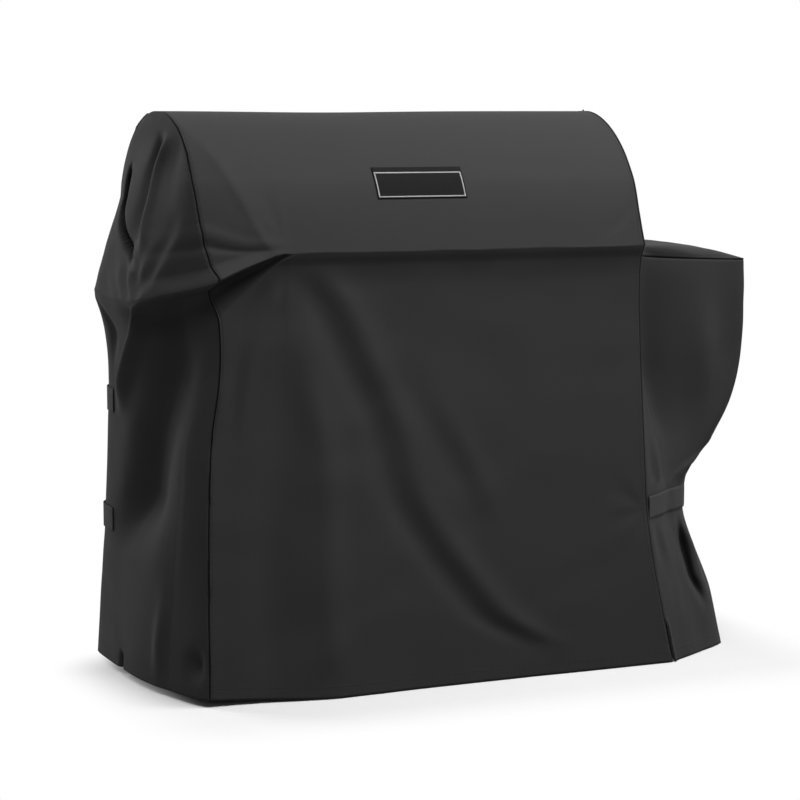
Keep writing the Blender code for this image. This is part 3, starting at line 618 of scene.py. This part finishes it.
left_front = between(front_grid[:, 0], left_grid[:, 0])
left_rear = between(rear_grid[:, 0], left_grid[::2, -1])
right_front = between(front_grid[:, -1], np.concatenate([skirt_grid[:, 0], end_grid[:, 0]]))
right_rear = between(rear_grid[:, -1], np.concatenate([skirt_grid[:, -1], end_grid[:, -1]])[::2])
seams = {
    "left_seam_tape": np.concatenate([left_front[1:], left_rear[::-1][1:-1]]),
    "right_seam_tape": np.concatenate([right_front[1:], right_rear[::-1][1:-1]]),
    "ridge_seam_tape": between(front_grid[-1, 2:-2:2], rear_grid[-1, 1:-1]),
    "hopper_seam_tape": between(skirt_grid[-1], top_grid[0])[3:-3],
}
BEAD_RADIUS = 0.0018
for node, path in seams.items():
    made[node] = bead(node.replace("_tape", "_bead"), path, BEAD_RADIUS)
print("seams:", ", ".join(seams))

# %% [markdown]
# ## The label
#
# The label is a plain patch sewn on the hood's shoulder. It is cut from the front wall's own formula and lifted by
# its thickness, so it follows the curve without a modifier.

# %%
heights = np.linspace(1.004, 1.066, 14)
arch_u = np.linspace(0.10, 0.86, 400)
label_u = np.interp(heights, hood_profile(FRONT, arch_u)[1], arch_u)
label_x = np.linspace(-0.2365, -0.0365, 40)
label_s = (label_x - HOOD_LEFT) / (HOOD_RIGHT - HOOD_LEFT)
label_grid = grid_of(front_wall, label_s, 1 + 0 * label_u, label_u)
label_grid = label_grid + normals_of(label_grid) * 0.0014
made["label_patch"] = thicken(to_mesh("label", label_grid), 0.0010)
print("label", len(heights), "by", len(label_x), "points; pieces so far:", len(made))

# %% [markdown]
# ## Straps
#
# A strap is a band of webbing on edge along a level line. A Shrinkwrap modifier could lay it on the cloth, but would
# print every fold into it. `trace` takes the cloth's average line over the strap's width, and `band` follows that.


# %%
SPACING = 0.003
WEBBING_WIDTH, WEBBING_THICK = 0.050, 0.0018
PAD_WIDTH, PAD_THICK = 0.040, 0.0012


def trace(surface, params, height):
    """A level line of a surface, averaged over the width of a strap."""
    t = np.linspace(0, 1, 260)
    a, tt = np.meshgrid(params, t)
    points = surface(a, tt)
    levels = height + WEBBING_WIDTH * np.linspace(-0.5, 0.5, 7)
    path = []
    for k in range(len(params)):
        column = points[:, k]
        spots = [[np.interp(level, column[:, 2], column[:, i]) for i in (0, 1)] for level in levels]
        path.append(np.mean(spots, 0))
    return np.array(path)


def gone_along(path):
    return np.concatenate([[0], np.cumsum(np.linalg.norm(np.diff(path, axis=0), axis=1))])


def part_of(path, start, finish):
    """A piece of a path between two distances along it, in even steps."""
    gone = gone_along(path)
    at = np.linspace(start, finish, max(4, int((finish - start) / SPACING)))
    return np.stack([np.interp(at, gone, path[:, i]) for i in (0, 1)], 1)


def even(path):
    return part_of(path, 0, gone_along(path)[-1])


def length_of(path):
    return np.linalg.norm(np.diff(path, axis=0), axis=1).sum()


def softened(path, times):
    """The path with its small kinks rubbed out."""
    for _ in range(times):
        path[1:-1] = (path[:-2] + 2 * path[1:-1] + path[2:]) / 4
    return path


def pushed(path, distance, right):
    """The path moved sideways: right is 1 to move to the right of its direction of travel."""
    ahead = np.gradient(path, axis=0)
    ahead /= np.linalg.norm(ahead, axis=1, keepdims=True)
    side = np.stack([ahead[:, 1], -ahead[:, 0]], 1) * right
    return path + side * np.reshape(distance, (-1, 1))


def band(name, path, height, width, thickness, right):
    """A flat band standing on edge, with a path along its inner face."""
    across = np.linspace(-0.5, 0.5, 9)
    outer = pushed(path, thickness, right)
    z = np.broadcast_to(height + across[:, None] * width, (len(across), len(path)))
    x, y = (np.broadcast_to(outer[:, i], z.shape) for i in (0, 1))
    return thicken(to_mesh(name, np.stack([x, y, z], -1), flip=right < 0), thickness)


def webbing_band(name, path, height, right):
    return band(name, path, height, WEBBING_WIDTH, WEBBING_THICK, right)


def pad_band(name, path, height, right):
    return band(name, path, height, PAD_WIDTH, PAD_THICK, right)


# %% [markdown]
# ## The strap at the waist
#
# It draws the cloth in under the hopper: two halves, sewn at the seams, that meet at a ring. The tab goes through the
# ring and folds back onto a hook and a loop pad. The ring's place is read from the solid model, where the tab turns.

# %%
STRAP_HEIGHT = 0.337
RING_GAP = 0.0094  # from the ring's middle to the webbing on each side
SEWN_IN = 0.006
waist = trace(hopper_skirt, np.linspace(0, 1, 240), STRAP_HEIGHT)
waist = pushed(softened(even(waist), 6), 0.0012, 1)
cad_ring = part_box("strap_ring")
ring_spot = (np.array(cad_ring[0]) + np.array(cad_ring[1])) / 2 - SHIFT
ring_at = SPACING * np.argmin(np.linalg.norm(waist - ring_spot[:2], axis=1))
before, after = ring_at - RING_GAP, ring_at + RING_GAP
front_run, rear_run = part_of(waist, SEWN_IN, before), part_of(waist, after, length_of(waist) - SEWN_IN)
made["right_front_strap"] = webbing_band("front_webbing", front_run, STRAP_HEIGHT, 1)
made["right_rear_strap"] = webbing_band("rear_webbing", rear_run, STRAP_HEIGHT, 1)
layers = part_of(waist, after, after + 0.085)
pad = part_of(layers, 0.030, 0.077)
made["right_loop_pad"] = pad_band("tab_loop", pushed(pad, 0.0021, 1), STRAP_HEIGHT, 1)
made["right_hook_pad"] = pad_band("tab_hook", pushed(pad, 0.0036, 1), STRAP_HEIGHT, 1)
made["right_strap_tab"] = webbing_band("tab_webbing", pushed(layers, 0.0052, 1), STRAP_HEIGHT, 1)
print("strap round the waist:", round(length_of(waist), 3), "m, ring at", round(ring_at, 3))

# %%
# The ring is a bead along a rounded oblong that stands in the strap's line.
near_ring = part_of(waist, ring_at - 0.0075, ring_at + 0.0075)
lifted = pushed(near_ring, 0.0020, 1)
turn = np.linspace(0, 2 * math.pi, 64, endpoint=False)
squared = lambda v: np.sign(v) * np.abs(v) ** 0.45
ring_x = np.interp(squared(np.cos(turn)), (-1, 1), (0, 1))
ring_flat = [mix(lifted[0, i], lifted[-1, i], ring_x) for i in (0, 1)]
ring_path = np.stack([*ring_flat, STRAP_HEIGHT + 0.029 * squared(np.sin(turn))], 1)
made["strap_ring"] = bead("ring", np.concatenate([ring_path, ring_path[:2]]), 0.0015, 12)
print("ring of", len(ring_path), "steps")

# %% [markdown]
# ## The two straps of the left end
#
# Each is sewn to the end and goes round the rear corner, where its hook pad meets a loop pad on the rear. The path is
# traced on both cloths and rubbed smooth at the corner, because webbing can't turn sharply.

# %%
for node, height in (("left_upper", 0.574), ("left_lower", 0.318)):
    end = trace(lambda a, t: left_end(a, t, 0 * t), np.linspace(0.625, 1, 90), height)
    back = trace(lambda a, t: wall(REAR, a, t, 0 * t), np.linspace(0, 0.16, 60)[1:], height)
    corner = softened(even(np.concatenate([end, back])), 10)
    path = part_of(corner, 0.012, 0.292)
    gone = np.linspace(0, 1, len(path))
    raised = pushed(path, 0.0010 + 0.0032 * step(gone, 0.15, 0.45), -1)
    made[node + "_strap"] = webbing_band(node + "_webbing", raised, height, -1)
    pads = part_of(corner, 0.237, 0.286)
    made[node + "_loop_pad"] = pad_band(node + "_loop", pushed(pads, 0.0008, -1), height, -1)
    made[node + "_hook_pad"] = pad_band(node + "_hook", pushed(pads, 0.0024, -1), height, -1)
print("pieces:", len(made))

# %% [markdown]
# ## A small language for shaders
#
# `Wire` holds one output of a node. Arithmetic on wires adds the nodes, so a pattern is written as a formula.


# %%
class Wire:
    def __init__(self, tree, socket):
        self.tree = tree
        self.socket = socket

    def node(self, kind, inputs, output=0, **settings):
        """Any other node, fed by a dictionary of wires and values."""
        built = self.tree.nodes.new(kind)
        for key, value in settings.items():
            setattr(built, key, value)
        for key, value in inputs.items():
            if isinstance(value, Wire):
                self.tree.links.new(value.socket, built.inputs[key])
            else:
                built.inputs[key].default_value = value
        return Wire(self.tree, built.outputs[output])

    def maths(self, what, *values):
        return self.node("ShaderNodeMath", dict(enumerate(values)), operation=what)

    __add__ = __radd__ = lambda self, other: self.maths("ADD", self, other)
    __mul__ = __rmul__ = lambda self, other: self.maths("MULTIPLY", self, other)
    __sub__ = lambda self, other: self.maths("SUBTRACT", self, other)
    __rsub__ = lambda self, other: self.maths("SUBTRACT", other, self)
    __abs__ = lambda self: self.maths("ABSOLUTE", self)

    def waves(self, length):
        """A sine wave of a given length along this distance."""
        return (self * (2 * math.pi / length)).sine()

    def sine(self):
        return self.maths("SINE", self)

    def least(self, other):
        return self.maths("MINIMUM", self, other)

    def most(self, other):
        return self.maths("MAXIMUM", self, other)

    def between(self, low, high):
        """0 at low, 1 at high, smooth between."""
        sockets = {"Value": self, "From Min": low, "From Max": high}
        return self.node("ShaderNodeMapRange", sockets, interpolation_type="SMOOTHSTEP")

    def line(self, middle, half):
        """1 on a line at a distance, fading over half a width each side."""
        return 1 - abs(self - middle).between(half * 0.4, half)

    def blend(self, first, second):
        """A colour between two, with this wire as the share of the second."""
        return self.node("ShaderNodeMix", {0: self, 6: first, 7: second}, 2, data_type="RGBA")

    def noise(self, scale, detail=3.0, roughness=0.55):
        sockets = {"Vector": self, "Scale": scale, "Detail": detail, "Roughness": roughness}
        return self.node("ShaderNodeTexNoise", sockets)


# %% [markdown]
# `Paint` is a Principled material with the wires that patterns start from: the place in space, and the distances that
# each cloth keeps. They are metres on the cloth, so a stitch has its real length everywhere.


# %%
class Paint:
    def __init__(self, name, roughness, metallic=0.0, gloss=0.5):
        self.material = bpy.data.materials.new(name)
        self.material.use_nodes = True
        tree = self.material.node_tree
        self.shader = tree.nodes["Principled BSDF"]
        self.start = Wire(tree, None)
        self.place = self.start.node("ShaderNodeTexCoord", {}, 3)
        self.across, self.up = self.parts("cloth")
        self.left, self.right = self.parts("edge")
        self.shader.inputs["Roughness"].default_value = roughness
        self.shader.inputs["Metallic"].default_value = metallic
        self.shader.inputs["Specular IOR Level"].default_value = gloss

    def parts(self, layer):
        flat = self.start.node("ShaderNodeUVMap", {}, uv_map=layer)
        return [self.start.node("ShaderNodeSeparateXYZ", {0: flat}, i) for i in (0, 1)]

    def feed(self, socket, wire):
        self.start.tree.links.new(wire.socket, self.shader.inputs[socket])

    def raised(self, height, distance):
        """Feeds a bump whose height is in units of the distance given."""
        sockets = {"Height": height, "Distance": distance, "Strength": 1.0}
        self.feed("Normal", self.start.node("ShaderNodeBump", sockets))


def grey(level):
    return (level, level, level, 1)


def dashes(along, pitch):
    """Stitches along a line: 1 on a stitch and 0 between two."""
    return along.waves(pitch).between(-0.55, -0.1)


# %% [markdown]
# ## Coated polyester
#
# The cover's cloth is a fine plain weave, nearly matt and almost black. It puckers along its stitches, a row on each
# side of a seam and one at the hem. An image could show them; a formula was chosen, because it stays sharp close up.

# %%
WEAVE_PITCH = 0.0011
STITCH_PITCH = 0.0042
HEM_LINE = 0.0245
cloth = Paint("coated_polyester", 0.7, gloss=0.08)
weave = cloth.across.waves(WEAVE_PITCH) * cloth.up.waves(WEAVE_PITCH)
broad = cloth.place.noise(5.0, 4.0)
fine = cloth.place.noise(90.0, 3.0)
near_seam = cloth.left.least(cloth.right)
seam_stitch = near_seam.line(0.0085, 0.0011) * dashes(cloth.up, STITCH_PITCH)
hem_stitch = cloth.up.line(HEM_LINE, 0.0011) * dashes(cloth.across, STITCH_PITCH)
stitch = seam_stitch.most(hem_stitch)
shade = (broad * 0.30 + fine * 0.12 + 0.79) * (1 + weave * 0.03)
tone = shade.blend(grey(0.0), grey(0.035))
cloth.feed("Base Color", (stitch * 0.14).blend(tone, grey(0.050)))
cloth.feed("Roughness", 0.60 + broad * 0.12 + fine * 0.08)
pucker = near_seam.line(0.0, 0.020) * (cloth.up * (2 * math.pi / 0.013) + broad * 9).sine()
hem_pucker = cloth.up.line(HEM_LINE, 0.012) * (cloth.across * (2 * math.pi / 0.015) + broad * 9).sine()
cloth.raised(weave * 0.06 + fine * 0.18 + stitch * 0.7 + pucker * 0.15 + hem_pucker * 0.10, 0.0009)
print(cloth.material.name, "has", len(cloth.material.node_tree.nodes), "nodes")

# %% [markdown]
# ## Seams and hem
#
# In the groove of a seam the thread lies in shadow. Its colour is the thread's own black, darkened further as painted
# shade of the groove, so it is the darkest finish. The right seam is edged with a lighter piping. The hem's inside is
# the uncoated face of the same cloth.

# %%
tape = Paint("seam_thread_painted_shade", 0.8, gloss=0.03)
twist = (tape.up * 2600 + tape.across * 900).sine()
# Painted shade: the thread's black is darkened further for the shadow in the seam's groove.
tape.feed("Base Color", (twist * 0.25 + 0.5).blend(grey(0.003), grey(0.010)))
tape.raised(twist, 0.0003)

turnup = Paint("hem_cloth", 0.62, gloss=0.10)
ribs = turnup.across.waves(WEAVE_PITCH) * turnup.up.waves(WEAVE_PITCH)
turnup.feed("Base Color", (turnup.place.noise(9.0) * 0.5 + 0.3).blend(grey(0.043), grey(0.066)))
turnup.raised(ribs, 0.0002)

piping = Paint("right_piping", 0.62, gloss=0.08)
piping.feed("Base Color", piping.place.noise(40.0).blend(grey(0.012), grey(0.018)))
print("thread, hem and piping:", [paint.material.name for paint in (tape, turnup, piping)])

# %% [markdown]
# ## Webbing
#
# Webbing is ribbed across, with a firmer selvedge. Its sewn ends carry the usual box of stitches with a cross in it,
# drawn from the distance to the nearer end and to the nearer edge.

# %%
webbing = Paint("webbing", 0.66, gloss=0.12)
rib = webbing.across.waves(0.0026)
chevron = webbing.up.waves(0.0034)
ends = webbing.left.least(webbing.right)
rim = webbing.up.least(WEBBING_WIDTH - webbing.up)
in_box = ends.between(0.034, 0.032)
box = ends.line(0.004, 0.0012).most(ends.line(0.032, 0.0012)).most(rim.line(0.004, 0.0012) * in_box)
along, aslant = ends - 0.018, (webbing.up - 0.025) * 0.62
cross = abs(along - aslant).line(0, 0.0013).most(abs(along + aslant).line(0, 0.0013))
sewn = box.most(cross * in_box) * dashes(webbing.across + webbing.up, 0.0040)
selvedge = rim.between(0.0022, 0.0010)
yarn = (rib * 0.18 + chevron * 0.10 + webbing.place.noise(60.0) * 0.35 + 0.35)
webbing.feed("Base Color", (sewn * 0.6).blend(yarn.blend(grey(0.025), grey(0.048)), grey(0.067)))
webbing.raised(rib * 0.5 + chevron * 0.3 + sewn * 0.8 + selvedge * 0.5, 0.0006)
print(webbing.material.name, "has", len(webbing.material.node_tree.nodes), "nodes")

# %% [markdown]
# ## Pads, ring and label
#
# Hook-and-loop pads are rough and matt; fine noise is enough at their size. The ring is dark scuffed metal. The label
# is a twill patch with a pale stitched border and nothing on it.

# %%
nylon = Paint("hook_and_loop", 0.90)
hooks = nylon.place.noise(900.0, 2.0)
nylon.feed("Base Color", hooks.blend(grey(0.017), grey(0.050)))
nylon.raised(hooks, 0.0012)

metal = Paint("ring_metal", 0.38, metallic=1.0)
scuff = metal.place.noise(160.0)
metal.feed("Base Color", scuff.blend(grey(0.13), grey(0.22)))
metal.feed("Roughness", 0.30 + scuff * 0.2)
metal.raised(scuff, 0.0002)

patch = Paint("label_cloth", 0.6, gloss=0.05)
twill = (patch.across + patch.up).waves(0.0014)
border = patch.left.least(patch.right).least(patch.up.least(0.062 - patch.up))
border_stitch = border.line(0.0042, 0.0018) * dashes(patch.across + patch.up, 0.0038)
plain = (patch.place.noise(40.0) * 0.4 + 0.3).blend(grey(0.008), grey(0.015))
patch.feed("Base Color", border_stitch.blend(plain, grey(0.70)))
patch.raised(twill * 0.3 + border_stitch + border.between(0.0030, 0.0) * -1.2, 0.0005)
print("pads, ring and label:", [paint.material.name for paint in (nylon, metal, patch)])

# %% [markdown]
# ## Every piece on its body
#
# Each piece takes its material from one row of FINISH, hides the node of the solid model that it stands for, and rides
# on one body.

# %%
FINISH = {
    "panel": (cloth, "cover_cloth"),
    "right_seam_tape": (piping, "seam_tape"),
    "seam_tape": (tape, "seam_tape"),
    "hem_band": (turnup, "hem_cloth"),
    "strap": (webbing, "webbing"),
    "strap_tab": (webbing, "webbing"),
    "pad": (nylon, "hook_and_loop"),
    "ring": (metal, "ring_metal"),
    "patch": (patch, "label_cloth"),
}
BODY = {
    "left_upper_strap": "upper_strap",
    "left_upper_hook_pad": "upper_strap",
    "left_lower_strap": "lower_strap",
    "left_lower_hook_pad": "lower_strap",
    "right_strap_tab": "tab",
    "right_hook_pad": "tab",
}
for node, piece in made.items():
    paint, slot = next(finish for ending, finish in FINISH.items() if node.endswith(ending))
    piece.data.materials.append(paint.material)
    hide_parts(node)
    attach(piece, BODY.get(node, "cover"))
print(len(made), "pieces,", len(BODY), "of them on moving bodies")

# %% [markdown]
# ## The cut cloth
#
# Each panel's cut is listed here and printed. It is taken from the solid model's panel, not from the folds made here:
# the longest runs across and along it, and half of its surface.

# %%
CUT = {
    "front_panel": (1.034, 1.327, 1.290, "front_hem_band"),
    "rear_panel": (1.034, 1.370, 1.331, "rear_hem_band"),
    "left_end_panel": (0.695, 1.184, 0.716, "left_hem_band"),
    "hopper_skirt_panel": (1.119, 0.902, 0.825, "right_hem_band"),
    "hopper_top_panel": (0.769, 0.620, 0.258, None),
}
for node, (width, length, area, turned_up) in CUT.items():
    print(node, "cut from", width, "x", length, "area", area)

# %% [markdown]
# ## Floor
#
# The floor is pale to the camera and in reflections. To diffuse light it is darker, so that it throws little light up
# the cloth. Outside the footprint it fades to pure white, which leaves only the near shadow.

# %%
floor_mesh = bpy.data.meshes.new("floor")
floor_mesh.from_pydata([(-30, -30, 0), (30, -30, 0), (30, 30, 0), (-30, 30, 0)], [], [(0, 1, 2, 3)])
floor = bpy.data.objects.new("floor", floor_mesh)
floor.location = (0.02, -0.14, -0.0005)
bpy.context.scene.collection.objects.link(floor)
ground = Paint("floor_white", 0.9, gloss=0.0)
FOOTPRINT = (0.60, 0.24, 0.0)
aside = ground.start.node("ShaderNodeVectorMath", {0: ground.place}, operation="ABSOLUTE")
outside = aside.node("ShaderNodeVectorMath", {0: aside, 1: FOOTPRINT}, operation="SUBTRACT")
clear = aside.node("ShaderNodeVectorMath", {0: outside, 1: (0.0, 0.0, 0.0)}, operation="MAXIMUM")
far = aside.node("ShaderNodeVectorMath", {0: clear}, 1, operation="LENGTH")
glow = ground.start.node("ShaderNodeEmission", {"Color": grey(1.0), "Strength": 1.0})


def sees_backdrop(start):
    """1 for the rays that meet the white backdrop: the camera's, a reflection's and one through glass."""
    path = start.node("ShaderNodeLightPath", {}, "Is Camera Ray")
    others = [Wire(path.tree, path.socket.node.outputs[name]) for name in ("Is Glossy Ray", "Is Transmission Ray")]
    return path.most(others[0]).most(others[1])


seen = sees_backdrop(ground.start)
ground.feed("Base Color", seen.blend(grey(0.15), grey(0.86)))
matt = Wire(glow.tree, ground.shader.outputs[0])
joined = ground.start.node("ShaderNodeMixShader", {0: far.between(0.02, 0.24) * seen, 1: matt, 2: glow})
ground.start.tree.links.new(joined.socket, ground.start.tree.nodes["Material Output"].inputs[0])
floor_mesh.materials.append(ground.material)
print("floor at", tuple(round(v, 4) for v in floor.location))

# %% [markdown]
# ## Lights
#
# A large soft lamp stands above and in front. One on the right and a weak one on each side of the left end keep the
# folds readable. The world adds a little even light and is white where it is seen.


# %%
def soft_light(name, place, aim, size, watts):
    lamp = bpy.data.lights.new(name, "AREA")
    lamp.shape = "RECTANGLE"
    lamp.size, lamp.size_y = size
    lamp.energy = watts
    stand = bpy.data.objects.new(name, lamp)
    stand.location = place
    stand.rotation_euler = (Vector(aim) - Vector(place)).to_track_quat("-Z", "Y").to_euler()
    bpy.context.scene.collection.objects.link(stand)
    print(name, watts, "W")


soft_light("overhead", (0.5, -1.55, 3.25), (0.0, 0.0, 0.5), (4.0, 2.2), 132)
soft_light("right", (2.6, -1.5, 3.0), (0.0, 0.0, 0.6), (1.8, 1.8), 36)
soft_light("left", (-1.9, 1.9, 2.2), (-0.65, 0.1, 0.7), (1.4, 1.4), 28)
soft_light("low_fill", (-2.5, -2.3, 0.8), (-0.6, -0.2, 0.35), (1.2, 1.2), 6)

world = bpy.data.worlds.new("studio")
bpy.context.scene.world = world
world.use_nodes = True
air = Wire(world.node_tree, None)
dim = air.node("ShaderNodeBackground", {"Color": grey(1.0), "Strength": 0.05})
white = air.node("ShaderNodeBackground", {"Color": grey(1.0), "Strength": 1.0})
shown = air.node("ShaderNodeMixShader", {0: sees_backdrop(air), 1: dim, 2: white})
world.node_tree.links.new(shown.socket, world.node_tree.nodes["World Output"].inputs[0])

# %% [markdown]
# ## Camera
#
# It stands left of the middle and a little above the hood, with a long lens, at the photograph's viewing angle.

# %%
lens = bpy.data.cameras.new("camera")
lens.lens = 111.6
lens.sensor_width = 36
camera = bpy.data.objects.new("camera", lens)
camera.location = (-2.25815, -4.83807, 1.176)
turn, tilt = math.radians(-24.4), math.radians(6.6)
look = Vector((-math.sin(turn) * math.cos(tilt), math.cos(turn) * math.cos(tilt), -math.sin(tilt)))
camera.rotation_euler = look.to_track_quat("-Z", "Y").to_euler()
bpy.context.scene.collection.objects.link(camera)
bpy.context.scene.camera = camera
bpy.context.scene.view_settings.view_transform = "Standard"
print("camera at", tuple(round(v, 3) for v in camera.location), "lens", lens.lens)
